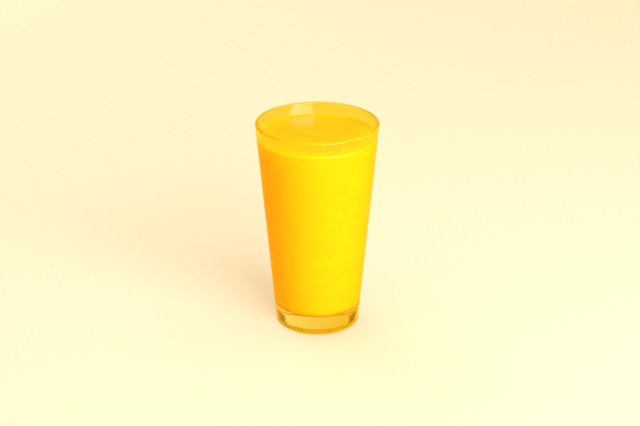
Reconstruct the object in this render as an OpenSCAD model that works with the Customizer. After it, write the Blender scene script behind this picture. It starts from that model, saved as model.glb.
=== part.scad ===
// A tumbler of orange juice: a slant-sided glass with a thick solid floor, filled almost to its rim.
// Millimetres, +Z up. The origin is the middle of the foot, on the surface that the glass stands on.
// Both solids are turned round +Z from half a section, whose points are [distance from the axis, height].

/* [Tumbler] */
// Outer diameter at the rim
rim_d = 89; // [80:1:110]
// Outer diameter where the straight side, carried on down, meets the table
foot_d = 60.5; // [52:0.5:76]
// Height from the table to the top of the rim
tumbler_h = 155.5; // [110:0.5:190]

/* [Wall and floor] */
// Thickness of the wall at the rim, which is fully rounded
rim_wall = 2.5; // [1.5:0.1:3.5]
// Thickness of the wall where it comes down to the floor
floor_wall = 3; // [2:0.1:4.5]
// Thickness of the solid floor
floor_t = 14; // [6:0.5:20]
// Radius of the corner inside, between the wall and the floor
floor_r = 5; // [2:0.5:12]
// Radius of the rounded edge outside, between the wall and the table
foot_r = 2.5; // [1:0.1:4]

/* [Hollow under the floor] */
// Width of the flat ring that the glass stands on
ring_w = 2; // [1:0.5:6]
// Depth of the shallow hollow inside that ring, which is flat in the middle
hollow_h = 1.6; // [0.4:0.1:3]
// Width of the rounded slope from the flat middle out to the ring
slope_w = 9; // [3:0.5:14]

/* [Juice] */
// Depth of the empty space from the rim down to the juice
headspace = 10; // [6:0.5:60]
// Height that the juice's edge climbs up the wall
climb_h = 1.2; // [0.4:0.1:2]
// Width of the curved band at that edge
climb_w = 2.2; // [1.2:0.1:4]

/* [Hidden] */
$fn = 128;
// Largest angle between neighbouring points of an arc, and the fewest steps along one
ARC_STEP = 7.5;
ARC_STEPS = 6;

// The rounded rim: the middle and the radius of its section
rim_r = rim_wall / 2;
rim_mid = [rim_d / 2 - rim_r, tumbler_h - rim_r];

// Points along a circle from angle a to angle b, both ends included
function arc(middle, r, a, b) =
    let (steps = max(ARC_STEPS, ceil(abs(b - a) / ARC_STEP)))
    [for (i = [0 : steps]) let (t = a + (b - a) * i / steps) middle + r * [cos(t), sin(t)]];

// Angle of the straight side that starts at p and just touches the rim's circle, outside (-1) or inside (1)
function side_angle(p, face) =
    let (way = rim_mid - p) atan2(way[1], way[0]) + face * asin(rim_r / norm(way));

// The point at height z on the straight side that starts at p and rises at angle a
function side_point(p, a, z) = [p[0] + (z - p[1]) / tan(a), z];

// The corner between that side and the level through p, rounded to radius r, from the side down to the level
function corner(p, a, r) = arc(side_point(p, a, p[1] + r) - [r / sin(a), 0], r, a - 90, -90);

// The outer side, from the foot to the rim
outer_foot = [foot_d / 2, 0];
outer_angle = side_angle(outer_foot, -1);
foot_edge = corner(outer_foot, outer_angle, foot_r);

// The inner side, from the floor to the rim
inner_foot = side_point(outer_foot, outer_angle, floor_t) - [floor_wall, 0];
inner_angle = side_angle(inner_foot, 1);

// The hollow: flat as far out as flat_w, then a quarter of an ellipse that slopes down to the flat ring
flat_w = foot_edge[len(foot_edge) - 1][0] - ring_w - slope_w;
slope = [for (p = arc([0, 0], 1, 90, 0)) [flat_w + slope_w * p[0], hollow_h * p[1]]];

// The juice: its level, the end of its edge on the wall, and the circle that its edge curves along
level = tumbler_h - headspace;
climb_top = side_point(inner_foot, inner_angle, level + climb_h);
climb_r = (climb_w * climb_w + climb_h * climb_h) / (2 * climb_h);
climb_end = asin(climb_w / climb_r);

// The inside of the glass, from the wall round the corner to the middle of the floor
inside = concat(corner(inner_foot, inner_angle, floor_r), [[0, floor_t]]);

// The glass in section: hollow, ring, foot, outer side, rim, inner side, floor
module glass_section() {
    polygon(concat(
        [[0, hollow_h]],
        slope,
        [for (i = [len(foot_edge) - 1 : -1 : 0]) foot_edge[i]],
        arc(rim_mid, rim_r, outer_angle - 90, inner_angle + 90),
        inside
    ));
}

// The juice in section: it fills the inside up to its level, and its edge climbs the wall
module juice_section() {
    polygon(concat(
        inside,
        [[0, level]],
        arc([climb_top[0] - climb_w, level + climb_r], climb_r, -90, climb_end - 90)
    ));
}

module glass() {
    color([0.88, 0.94, 0.93, 0.4]) rotate_extrude() glass_section();
}

module juice() {
    color([1, 0.8, 0.05]) rotate_extrude() juice_section();
}

glass();
juice();
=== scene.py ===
"""A tumbler of orange juice: a clear, slant-sided glass with a thick floor, filled almost to its rim."""

import math

import bpy
import numpy as np
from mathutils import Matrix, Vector


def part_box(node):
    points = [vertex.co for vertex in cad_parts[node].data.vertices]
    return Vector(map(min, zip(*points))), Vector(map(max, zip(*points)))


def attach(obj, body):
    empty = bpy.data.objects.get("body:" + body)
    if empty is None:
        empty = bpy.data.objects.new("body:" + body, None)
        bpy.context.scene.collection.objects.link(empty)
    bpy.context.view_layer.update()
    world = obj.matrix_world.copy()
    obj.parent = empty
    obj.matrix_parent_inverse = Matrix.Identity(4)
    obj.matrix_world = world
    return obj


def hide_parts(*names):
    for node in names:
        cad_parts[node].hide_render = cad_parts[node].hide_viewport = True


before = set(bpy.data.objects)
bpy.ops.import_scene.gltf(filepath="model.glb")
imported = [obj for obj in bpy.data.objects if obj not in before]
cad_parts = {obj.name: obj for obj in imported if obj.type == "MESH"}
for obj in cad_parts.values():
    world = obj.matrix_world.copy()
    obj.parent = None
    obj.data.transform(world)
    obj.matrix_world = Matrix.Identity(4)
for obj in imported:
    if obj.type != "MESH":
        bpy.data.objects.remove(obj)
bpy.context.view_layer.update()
MM = 0.001

# ---- Camera ------------------------------------------------------------------------------------
# A long lens a little over a metre away, looking down on the glass by about a quarter of a right angle.
# The glass stands a little left of the middle and fills more than half of the view's height.

CAMERA_ELEVATION = math.radians(23.16)
CAMERA_DISTANCE = 1.291
LOOK_AT = Vector((0.00201, 0, 0.08478))

lens = bpy.data.cameras.new("camera")
lens.lens = 99.44
lens.sensor_width = 36
lens.clip_start = 0.05
lens.clip_end = 60
camera = bpy.data.objects.new("camera", lens)
backward = Vector((0, -math.cos(CAMERA_ELEVATION), math.sin(CAMERA_ELEVATION)))
camera.location = LOOK_AT + CAMERA_DISTANCE * backward
camera.rotation_euler = (math.pi / 2 - CAMERA_ELEVATION, 0, 0)
bpy.context.scene.collection.objects.link(camera)
bpy.context.scene.camera = camera

# ---- Studio ------------------------------------------------------------------------------------
# A sheet of pale paper to stand on, in a pale room. A broad soft box at the front right is the main light,
# with a weak one overhead and a soft one behind. The glass sees warm card all round it: bright behind,
# dark beside that, and bright again at the sides and in front, so that its base and rim have dark edges.

FLOOR_SIDE = 16
FLOOR_COLOUR = (0.82, 0.81, 0.72)
FLOOR_COLOUR_IN_GLASS = (0.90, 0.55, 0.015)
SOFTBOX_AZIMUTH = math.radians(32)
SOFTBOX_ELEVATION = math.radians(24)
SOFTBOX_DISTANCE = 1.6
SOFTBOX_SIZE = (1.29, 0.84)
SOFTBOX_POWER = 24.5
SOFTBOX_COLOUR = (1.0, 0.96, 0.88)
SOFTBOX_AIM = Vector((0, 0, 0.08))
TOP_LIGHT_SIZE = (1.6, 1.6)
TOP_LIGHT_POWER = 2
TOP_LIGHT_PLACE = Vector((0.5, 0.3, 1.7))
TOP_LIGHT_AIM = Vector((0.5, 0.3, 0))
BACK_LIGHT_SIZE = (1.4, 1.4)
BACK_LIGHT_POWER = 8
BACK_LIGHT_PLACE = Vector((-0.9, 1.3, 0.9))
WARM_LIGHT = (1.0, 0.93, 0.80)
ROOM_COLOUR = (0.95, 0.76, 0.50)
# Directions run from -1 to 1: left to right, and from the camera's side to the side behind the glass
CARD_LEFT_TO_RIGHT = (-0.5, 0.5)
CARD_BEHIND_LEFT = (0.95, 0.52, 0.02)
CARD_BEHIND_RIGHT = (0.98, 0.70, 0.09)
CARD_BEHIND_EDGE = (0.60, 0.70)
DARK_CARD = (0.38, 0.14, 0.005)
CARD_AT_LEFT = (1.75, 1.12, 0.05)
CARD_AT_RIGHT = (0.95, 0.58, 0.03)
CARD_BESIDE_EDGE = (0.42, 0.34)
LIGHT_BOUNCES = 48

scene = bpy.context.scene
scene.view_settings.view_transform = "Standard"
# Light that is caught in thick glass turns back many times before it comes out
scene.cycles.max_bounces = LIGHT_BOUNCES
scene.cycles.glossy_bounces = LIGHT_BOUNCES
scene.cycles.transmission_bounces = LIGHT_BOUNCES


def node(tree, kind, inputs=None, **settings):
    """A new node in a tree, with its settings, and with each input joined to an output or given a value."""
    made = tree.nodes.new(kind)
    for name, value in settings.items():
        setattr(made, name, value)
    for name, value in (inputs or {}).items():
        if isinstance(value, bpy.types.NodeSocket):
            tree.links.new(value, made.inputs[name])
        else:
            made.inputs[name].default_value = value
    return made


def ramp(tree, value, start, stop, kind="SMOOTHSTEP"):
    """How far a value has gone from start to stop, from 0 to 1."""
    inputs = {"Value": value, "From Min": start, "From Max": stop}
    return node(tree, "ShaderNodeMapRange", inputs, interpolation_type=kind).outputs[0]


def blend(tree, amount, under, over):
    """A mix of two colours, each a colour or a node's output, from under at 0 to over at 1."""
    inputs = {"Factor": amount}
    for name, colour in (("A", under), ("B", over)):
        inputs[name] = (*colour, 1) if isinstance(colour, tuple) else colour
    return node(tree, "ShaderNodeMix", inputs, data_type="RGBA").outputs["Result"]


def principled(name, roughness):
    """A new material, its node tree, and its shader with that roughness."""
    material = bpy.data.materials.new(name)
    material.use_nodes = True
    shader = material.node_tree.nodes["Principled BSDF"]
    shader.inputs["Roughness"].default_value = roughness
    return material, material.node_tree, shader


def area_light(name, size, power, colour, place, target):
    """A rectangular soft light at a place, turned to a target."""
    light = bpy.data.lights.new(name, "AREA")
    light.shape = "RECTANGLE"
    light.size = size[0]
    light.size_y = size[1]
    light.energy = power
    light.color = colour
    lamp = bpy.data.objects.new(name, light)
    lamp.location = place
    lamp.rotation_euler = (place - target).to_track_quat("Z", "Y").to_euler()
    scene.collection.objects.link(lamp)
    return lamp


half = FLOOR_SIDE / 2
floor_mesh = bpy.data.meshes.new("floor")
corners = [(-half, -half, 0), (half, -half, 0), (half, half, 0), (-half, half, 0)]
floor_mesh.from_pydata(corners, [], [(0, 1, 2, 3)])
floor = bpy.data.objects.new("floor", floor_mesh)
scene.collection.objects.link(floor)
pale_paper, paper_tree, paper_shader = principled("pale paper", 0.9)
ray = node(paper_tree, "ShaderNodeLightPath")
tone = blend(paper_tree, ray.outputs["Is Camera Ray"], FLOOR_COLOUR_IN_GLASS, FLOOR_COLOUR)
paper_tree.links.new(tone, paper_shader.inputs["Base Color"])
floor_mesh.materials.append(pale_paper)

towards_softbox = Vector((
    math.cos(SOFTBOX_ELEVATION) * math.sin(SOFTBOX_AZIMUTH),
    -math.cos(SOFTBOX_ELEVATION) * math.cos(SOFTBOX_AZIMUTH),
    math.sin(SOFTBOX_ELEVATION),
))
softbox_place = SOFTBOX_AIM + SOFTBOX_DISTANCE * towards_softbox
area_light("soft box", SOFTBOX_SIZE, SOFTBOX_POWER, SOFTBOX_COLOUR, softbox_place, SOFTBOX_AIM)
area_light("top light", TOP_LIGHT_SIZE, TOP_LIGHT_POWER, WARM_LIGHT, TOP_LIGHT_PLACE, TOP_LIGHT_AIM)
back = area_light("back light", BACK_LIGHT_SIZE, BACK_LIGHT_POWER, WARM_LIGHT, BACK_LIGHT_PLACE, LOOK_AT)
back.visible_glossy = False
back.visible_transmission = False

room = bpy.data.worlds.new("room")
room.use_nodes = True
card = room.node_tree
direction = node(card, "ShaderNodeTexCoord").outputs["Generated"]
towards = node(card, "ShaderNodeSeparateXYZ", {0: direction})
rightness = ramp(card, towards.outputs["X"], *CARD_LEFT_TO_RIGHT, "LINEAR")
at_sides = blend(card, rightness, CARD_AT_LEFT, CARD_AT_RIGHT)
beside = blend(card, ramp(card, towards.outputs["Y"], *CARD_BESIDE_EDGE), DARK_CARD, at_sides)
behind = blend(card, rightness, CARD_BEHIND_LEFT, CARD_BEHIND_RIGHT)
all_round = blend(card, ramp(card, towards.outputs["Y"], *CARD_BEHIND_EDGE), beside, behind)
ray = node(card, "ShaderNodeLightPath")
in_glass = node(card, "ShaderNodeMath", {
    0: ray.outputs["Is Glossy Ray"],
    1: ray.outputs["Is Transmission Ray"],
}, operation="MAXIMUM")
seen = blend(card, in_glass.outputs[0], ROOM_COLOUR, all_round)
card.links.new(seen, card.nodes["Background"].inputs["Color"])
scene.world = room

# ---- Glass -------------------------------------------------------------------------------------
# A pressed soda-lime tumbler, one piece turned round its axis. The rim is fire-polished round, and the
# floor is thick, with a rounded foot and a shallow, flat-middled hollow inside the ring that it stands on.
# The wall has faint ripples from the mould, and the standing ring is scuffed by tables.

glass_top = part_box("glass")[1]
RIM_RADIUS = glass_top.x
RIM_HEIGHT = glass_top.z
FOOT_RADIUS = 30.25 * MM
RIM_WALL = 2.5 * MM
FLOOR_WALL = 3 * MM
FLOOR_THICKNESS = 14 * MM
FLOOR_CORNER = 5 * MM
FOOT_EDGE = 2.5 * MM
RING_WIDTH = 2 * MM
HOLLOW_DEPTH = 1.6 * MM
SLOPE_WIDTH = 9 * MM
RIPPLES_PER_METRE = (60, 60, 14)
RIPPLE_DEPTH = 0.08 * MM
SCUFFS_PER_METRE = 900
SCUFFED_HEIGHTS = (0.12 * MM, 0.02 * MM)
# How finely the mesh follows the shape: steps round the axis, then along each stretch of half a section
SEGMENTS = 256
SLOPE_STEPS = 30
FOOT_EDGE_STEPS = 14
WALL_STEPS = 40
RIM_STEPS = 28
CORNER_STEPS = 18
FLAT_STEPS = 12
# Points as near as this are made one, where the seam and the poles close
SEAM_GAP = 0.001 * MM


def arc(middle, radius, start, stop, steps):
    """Points of half a section along a circle, from angle start to angle stop in degrees."""
    turns = np.radians(np.linspace(start, stop, steps + 1))
    return [(middle[0] + radius * math.cos(t), middle[1] + radius * math.sin(t)) for t in turns]


def straight(start, stop, steps):
    """Points of half a section strictly between start and stop."""
    return [tuple(np.array(start) + (np.array(stop) - start) * k / steps) for k in range(1, steps)]


def side_angle(foot, face):
    """Angle in degrees of the straight side from foot that touches the rim, outside (-1) or inside (1)."""
    along, up = RIM_RADIUS - RIM_WALL / 2 - foot[0], RIM_HEIGHT - RIM_WALL / 2 - foot[1]
    return math.degrees(math.atan2(up, along) + face * math.asin(RIM_WALL / 2 / math.hypot(along, up)))


def side_radius(foot, angle, height):
    """Distance from the axis, at that height, of the straight side that rises from foot."""
    return foot[0] + (height - foot[1]) / math.tan(math.radians(angle))


def corner(foot, angle, radius, steps):
    """The rounded corner between the straight side from foot and the level through foot."""
    height = foot[1] + radius
    middle = side_radius(foot, angle, height) - radius / math.sin(math.radians(angle))
    return arc((middle, height), radius, angle - 90, -90, steps)


def end_group(group, geometry, material):
    """The end of every tree here: plain mesh, in its material, as the tree's piece."""
    plain = node(group, "GeometryNodeRealizeInstances", {"Geometry": geometry})
    coated = node(group, "GeometryNodeSetMaterial", {"Geometry": plain.outputs[0], "Material": material})
    node(group, "NodeGroupOutput", {"Piece": coated.outputs[0]})


def lathe_group():
    """Geometry nodes that turn half a section, given as a line of points in XZ, round the Z axis."""
    group = bpy.data.node_groups.new("lathe", "GeometryNodeTree")
    sockets = group.interface
    sockets.new_socket("Half section", in_out="INPUT", socket_type="NodeSocketGeometry")
    sockets.new_socket("Segments", in_out="INPUT", socket_type="NodeSocketInt")
    sockets.new_socket("Finish", in_out="INPUT", socket_type="NodeSocketMaterial")
    sockets.new_socket("Piece", in_out="OUTPUT", socket_type="NodeSocketGeometry")

    def maths(operation, first, second):
        return node(group, "ShaderNodeMath", {0: first, 1: second}, operation=operation).outputs[0]

    given = node(group, "NodeGroupInput").outputs
    section, segments = given["Half section"], given["Segments"]
    size = node(group, "GeometryNodeAttributeDomainSize", {"Geometry": section}, component="MESH")
    points = size.outputs["Point Count"]
    # A sheet with a column of points for each step round the axis, and the last column on the first
    columns = maths("ADD", segments, 1)
    sheet = node(group, "GeometryNodeMeshGrid", {"Vertices X": columns, "Vertices Y": points})
    index = node(group, "GeometryNodeInputIndex").outputs[0]
    column = maths("FLOOR", maths("DIVIDE", index, points), 0)
    row = maths("MODULO", index, points)
    turn = maths("MULTIPLY", maths("DIVIDE", column, segments), 2 * math.pi)
    place = node(group, "GeometryNodeInputPosition").outputs[0]
    point = node(group, "GeometryNodeSampleIndex", {
        "Geometry": section,
        "Value": place,
        "Index": row,
    }, data_type="FLOAT_VECTOR")
    turned_point = node(group, "ShaderNodeVectorRotate", {
        "Vector": point.outputs[0],
        "Angle": turn,
    }, rotation_type="Z_AXIS")
    shape = node(group, "GeometryNodeSetPosition", {
        "Geometry": sheet.outputs["Mesh"],
        "Position": turned_point.outputs[0],
    })
    closed = node(group, "GeometryNodeMergeByDistance", {
        "Geometry": shape.outputs[0],
        "Distance": SEAM_GAP,
    })
    smooth = node(group, "GeometryNodeSetShadeSmooth", {"Geometry": closed.outputs[0]})
    end_group(group, smooth.outputs[0], given["Finish"])
    return group


def shaped(name, blank_mesh, group, settings):
    """A piece that a tree of geometry nodes makes from a blank, as a plain mesh."""
    blank = bpy.data.objects.new(name + " blank", blank_mesh)
    scene.collection.objects.link(blank)
    modifier = blank.modifiers.new(group.name, "NODES")
    modifier.node_group = group
    inputs = {s.name: s.identifier for s in group.interface.items_tree if s.in_out == "INPUT"}
    for setting, value in settings.items():
        modifier[inputs[setting]] = value
    blank.update_tag()
    graph = bpy.context.evaluated_depsgraph_get()
    mesh = bpy.data.meshes.new_from_object(blank.evaluated_get(graph))
    mesh.name = name
    bpy.data.objects.remove(blank)
    piece = bpy.data.objects.new(name, mesh)
    scene.collection.objects.link(piece)
    return piece


lathe = lathe_group()


def turned(name, half_section, material):
    """A piece turned round the Z axis from half a section."""
    line = bpy.data.meshes.new(name + " section")
    steps = [(k, k + 1) for k in range(len(half_section) - 1)]
    line.from_pydata([(r, 0, z) for r, z in half_section], steps, [])
    return shaped(name, line, lathe, {"Segments": SEGMENTS, "Finish": material})


outer_foot = (FOOT_RADIUS, 0)
outer_angle = side_angle(outer_foot, -1)
inner_foot = (side_radius(outer_foot, outer_angle, FLOOR_THICKNESS) - FLOOR_WALL, FLOOR_THICKNESS)
inner_angle = side_angle(inner_foot, 1)

foot_edge = corner(outer_foot, outer_angle, FOOT_EDGE, FOOT_EDGE_STEPS)[::-1]
flat_radius = foot_edge[0][0] - RING_WIDTH - SLOPE_WIDTH
quarter = arc((0, 0), 1, 90, 0, SLOPE_STEPS)
slope = [(flat_radius + SLOPE_WIDTH * x, HOLLOW_DEPTH * z) for x, z in quarter]
rim_middle = (RIM_RADIUS - RIM_WALL / 2, RIM_HEIGHT - RIM_WALL / 2)
rim = arc(rim_middle, RIM_WALL / 2, outer_angle - 90, inner_angle + 90, RIM_STEPS)
floor_corner = corner(inner_foot, inner_angle, FLOOR_CORNER, CORNER_STEPS)
glass_section = (
    [(0, HOLLOW_DEPTH)]
    + straight((0, HOLLOW_DEPTH), slope[0], FLAT_STEPS // 2)
    + slope
    + foot_edge
    + straight(foot_edge[-1], rim[0], WALL_STEPS)
    + rim
    + straight(rim[-1], floor_corner[0], WALL_STEPS)
    + floor_corner
    + straight(floor_corner[-1], (0, FLOOR_THICKNESS), FLAT_STEPS)
    + [(0, FLOOR_THICKNESS)]
)

clear_glass, melt, glass_shader = principled("clear glass", 0)
glass_shader.inputs["Base Color"].default_value = (1, 1, 1, 1)
glass_shader.inputs["Transmission Weight"].default_value = 1
glass_shader.inputs["IOR"].default_value = 1.5
where = node(melt, "ShaderNodeTexCoord").outputs["Object"]
height = node(melt, "ShaderNodeSeparateXYZ", {0: where}).outputs["Z"]
drawn = node(melt, "ShaderNodeMapping", {"Vector": where, "Scale": RIPPLES_PER_METRE}).outputs[0]
ripples = node(melt, "ShaderNodeTexNoise", {"Vector": drawn, "Scale": 1, "Detail": 1}).outputs["Fac"]
waves = node(melt, "ShaderNodeBump", {"Height": ripples, "Strength": 0.5, "Distance": RIPPLE_DEPTH})
melt.links.new(waves.outputs["Normal"], glass_shader.inputs["Normal"])
scuffs = node(melt, "ShaderNodeTexNoise", {"Vector": where, "Scale": SCUFFS_PER_METRE}).outputs["Fac"]
near_table = ramp(melt, height, *SCUFFED_HEIGHTS, "LINEAR")
worn = node(melt, "ShaderNodeMath", {0: scuffs, 1: near_table}, operation="MULTIPLY")
melt.links.new(worn.outputs[0], glass_shader.inputs["Roughness"])
# Lamplight goes straight through the glass, so that the juice inside is lit softly and without noise
lamplit = node(melt, "ShaderNodeMixShader", {
    0: node(melt, "ShaderNodeLightPath").outputs["Is Shadow Ray"],
    1: glass_shader.outputs[0],
    2: node(melt, "ShaderNodeBsdfTransparent").outputs[0],
})
melt.links.new(lamplit.outputs[0], melt.nodes["Material Output"].inputs["Surface"])

tumbler = turned("tumbler", glass_section, clear_glass)
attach(tumbler, "root")
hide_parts("glass")

# ---- Juice -------------------------------------------------------------------------------------
# Cloudy orange juice, poured in. It takes the shape of the glass, and its edge climbs the wall a little.
# Fine pulp floats all through it. Painted shade makes it deeper and darker at its thin upper edge, in the
# rounded corner and towards the surface, and painted light makes it paler on the floor of the glass.

CLIMB_HEIGHT = 1.2 * MM
CLIMB_WIDTH = 2.2 * MM
REACH = 0.12 * MM
SURFACE_STEPS = 30
CLIMB_STEPS = 14
# How far light spreads inside, and the share of that for red, green and blue
GLOW_REACH = 22 * MM
GLOW_SHARES = (1.0, 0.8, 0.3)
CLOUDS_PER_METRE = 70
CLOUD_EDGE = (0.3, 0.7)
PULP_PER_METRE = 800
PULP_EDGE = (0.32, 0.1)
PULP_DEPTH = 0.05 * MM
JUICE_DEEP = (1.0, 0.55, 0.002)
JUICE_PALE = (1.0, 0.575, 0.002)
PULP = (1.0, 0.60, 0.004)
# Painted shade and painted light, each with the heights where it starts and is full, from the floor for two
# and the level for two
# Painted shade: darker and deeper in the rounded corner just above the floor
PAINTED_SHADE_IN_CORNER = (0.85, 0.36, 0.0)
CORNER_HEIGHTS = (3 * MM, 0.8 * MM)
# Painted light: paler where the juice lies on the floor of the glass
PAINTED_LIGHT_ON_FLOOR = (1.0, 0.82, 0.002)
FLOOR_HEIGHTS = (0.3 * MM, 0)
# Painted shade: deeper towards the surface
PAINTED_SHADE_NEAR_SURFACE = (1.0, 0.51, 0.001)
SURFACE_HEIGHTS = (-7 * MM, -0.5 * MM)
# Painted shade: a dark line along the thin edge that climbs the wall
PAINTED_SHADE_AT_EDGE = (1.0, 0.37, 0.0)
EDGE_HEIGHTS = (0, 0.12 * MM)

juice_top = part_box("juice")[1].z
level = juice_top - CLIMB_HEIGHT
juice_foot = (inner_foot[0] + REACH, inner_foot[1] - REACH)
climb_top = (side_radius(inner_foot, inner_angle, juice_top) + REACH, juice_top)
climb_radius = (CLIMB_WIDTH ** 2 + CLIMB_HEIGHT ** 2) / (2 * CLIMB_HEIGHT)
climb_end = math.degrees(math.asin(CLIMB_WIDTH / climb_radius))
climb_middle = (climb_top[0] - CLIMB_WIDTH, level + climb_radius)
climb = arc(climb_middle, climb_radius, -90, climb_end - 90, CLIMB_STEPS)
juice_corner = corner(juice_foot, inner_angle, FLOOR_CORNER, CORNER_STEPS)[::-1]
juice_section = (
    [(0, juice_foot[1])]
    + straight((0, juice_foot[1]), juice_corner[0], FLAT_STEPS)
    + juice_corner
    + straight(juice_corner[-1], climb_top, WALL_STEPS)
    + climb[::-1]
    + straight(climb[0], (0, level), SURFACE_STEPS)
    + [(0, level)]
)

orange_juice, liquid, juice_shader = principled("orange juice", 0.14)
juice_shader.inputs["Subsurface Weight"].default_value = 1
juice_shader.inputs["Subsurface Radius"].default_value = GLOW_SHARES
juice_shader.inputs["Subsurface Scale"].default_value = GLOW_REACH
juice_shader.inputs["IOR"].default_value = 1.35
where = node(liquid, "ShaderNodeTexCoord").outputs["Object"]
height = node(liquid, "ShaderNodeSeparateXYZ", {0: where}).outputs["Z"]
cloud = node(liquid, "ShaderNodeTexNoise", {"Vector": where, "Scale": CLOUDS_PER_METRE, "Detail": 4})
pulp = node(liquid, "ShaderNodeTexVoronoi", {"Vector": where, "Scale": PULP_PER_METRE})
colour = blend(liquid, ramp(liquid, cloud.outputs["Fac"], *CLOUD_EDGE), JUICE_DEEP, JUICE_PALE)
colour = blend(liquid, ramp(liquid, pulp.outputs["Distance"], *PULP_EDGE), colour, PULP)
# Painted shade and painted light, laid by height over the juice's own colour
for base, heights, painted_tone in (
    (FLOOR_THICKNESS, CORNER_HEIGHTS, PAINTED_SHADE_IN_CORNER),
    (FLOOR_THICKNESS, FLOOR_HEIGHTS, PAINTED_LIGHT_ON_FLOOR),
    (level, SURFACE_HEIGHTS, PAINTED_SHADE_NEAR_SURFACE),
    (level, EDGE_HEIGHTS, PAINTED_SHADE_AT_EDGE),
):
    amount = ramp(liquid, height, base + heights[0], base + heights[1])
    colour = blend(liquid, amount, colour, painted_tone)
liquid.links.new(colour, juice_shader.inputs["Base Color"])
relief = node(liquid, "ShaderNodeBump", {
    "Height": pulp.outputs["Distance"],
    "Strength": 0.3,
    "Distance": PULP_DEPTH,
})
liquid.links.new(relief.outputs["Normal"], juice_shader.inputs["Normal"])

drink = turned("drink", juice_section, orange_juice)
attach(drink, "root")
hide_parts("juice")

# ---- Bubbles -----------------------------------------------------------------------------------
# A small raft of fine air bubbles, left floating left of the middle when the juice was poured. Each is a
# low dome of clear juice film, half sunk in the surface.

RAFT_MIDDLE = (-4.5 * MM, 4.0 * MM)
RAFT_RADII = (6.0 * MM, 4.5 * MM)
RAFT_EDGE_STEPS = 32
BUBBLE_RADIUS = 0.5 * MM
BUBBLE_GAP = 1.15 * BUBBLE_RADIUS
BUBBLE_SEED = 7
# The smallest bubble as a share of the largest, and a dome's height as a share of its radius
SMALLEST = 0.35
FLATNESS = 0.7
BUBBLES_PER_SQUARE_METRE = 900000
FILM_HEIGHT = 0.35 * MM
FILM_LOW = (1.0, 0.58, 0.006)
FILM_PAINTED_HIGHLIGHT = (1.0, 0.66, 0.05)


def bubble_group():
    """Geometry nodes that strew low domes over a small sheet, each of a size of its own."""
    group = bpy.data.node_groups.new("bubble raft", "GeometryNodeTree")
    sockets = group.interface
    sockets.new_socket("Sheet", in_out="INPUT", socket_type="NodeSocketGeometry")
    sockets.new_socket("Radius", in_out="INPUT", socket_type="NodeSocketFloat")
    sockets.new_socket("Gap", in_out="INPUT", socket_type="NodeSocketFloat")
    sockets.new_socket("Seed", in_out="INPUT", socket_type="NodeSocketInt")
    sockets.new_socket("Finish", in_out="INPUT", socket_type="NodeSocketMaterial")
    sockets.new_socket("Piece", in_out="OUTPUT", socket_type="NodeSocketGeometry")
    given = node(group, "NodeGroupInput").outputs
    spread = node(group, "GeometryNodeDistributePointsOnFaces", {
        "Mesh": given["Sheet"],
        "Distance Min": given["Gap"],
        "Density Max": BUBBLES_PER_SQUARE_METRE,
        "Seed": given["Seed"],
    }, distribute_method="POISSON")
    ball = node(group, "GeometryNodeMeshIcoSphere", {"Radius": given["Radius"], "Subdivisions": 3})
    dome = node(group, "GeometryNodeTransform", {
        "Geometry": ball.outputs["Mesh"],
        "Scale": (1, 1, FLATNESS),
    })
    # Inputs 2 and 3 are the least and the most of a random number
    size = node(group, "FunctionNodeRandomValue", {2: SMALLEST, 3: 1, "Seed": given["Seed"]})
    placed = node(group, "GeometryNodeInstanceOnPoints", {
        "Points": spread.outputs["Points"],
        "Instance": dome.outputs[0],
        "Scale": size.outputs[1],
    })
    smooth = node(group, "GeometryNodeSetShadeSmooth", {"Geometry": placed.outputs[0]})
    end_group(group, smooth.outputs[0], given["Finish"])
    return group


bubble_film, film, film_shader = principled("bubble film", 0.05)
film_shader.inputs["IOR"].default_value = 1.35
where = node(film, "ShaderNodeTexCoord").outputs["Object"]
height = node(film, "ShaderNodeSeparateXYZ", {0: where}).outputs["Z"]
# Painted highlight: each dome is paler towards its top
colour = blend(film, ramp(film, height, level, level + FILM_HEIGHT), FILM_LOW, FILM_PAINTED_HIGHLIGHT)
film.links.new(colour, film_shader.inputs["Base Color"])

raft = bpy.data.meshes.new("raft")
turns = [2 * math.pi * k / RAFT_EDGE_STEPS for k in range(RAFT_EDGE_STEPS)]
raft_edge = [
    (RAFT_MIDDLE[0] + RAFT_RADII[0] * math.cos(t), RAFT_MIDDLE[1] + RAFT_RADII[1] * math.sin(t), level)
    for t in turns
]
raft.from_pydata(raft_edge, [], [tuple(range(RAFT_EDGE_STEPS))])
bubbles = shaped("bubbles", raft, bubble_group(), {
    "Radius": BUBBLE_RADIUS,
    "Gap": BUBBLE_GAP,
    "Seed": BUBBLE_SEED,
    "Finish": bubble_film,
})
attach(bubbles, "root")
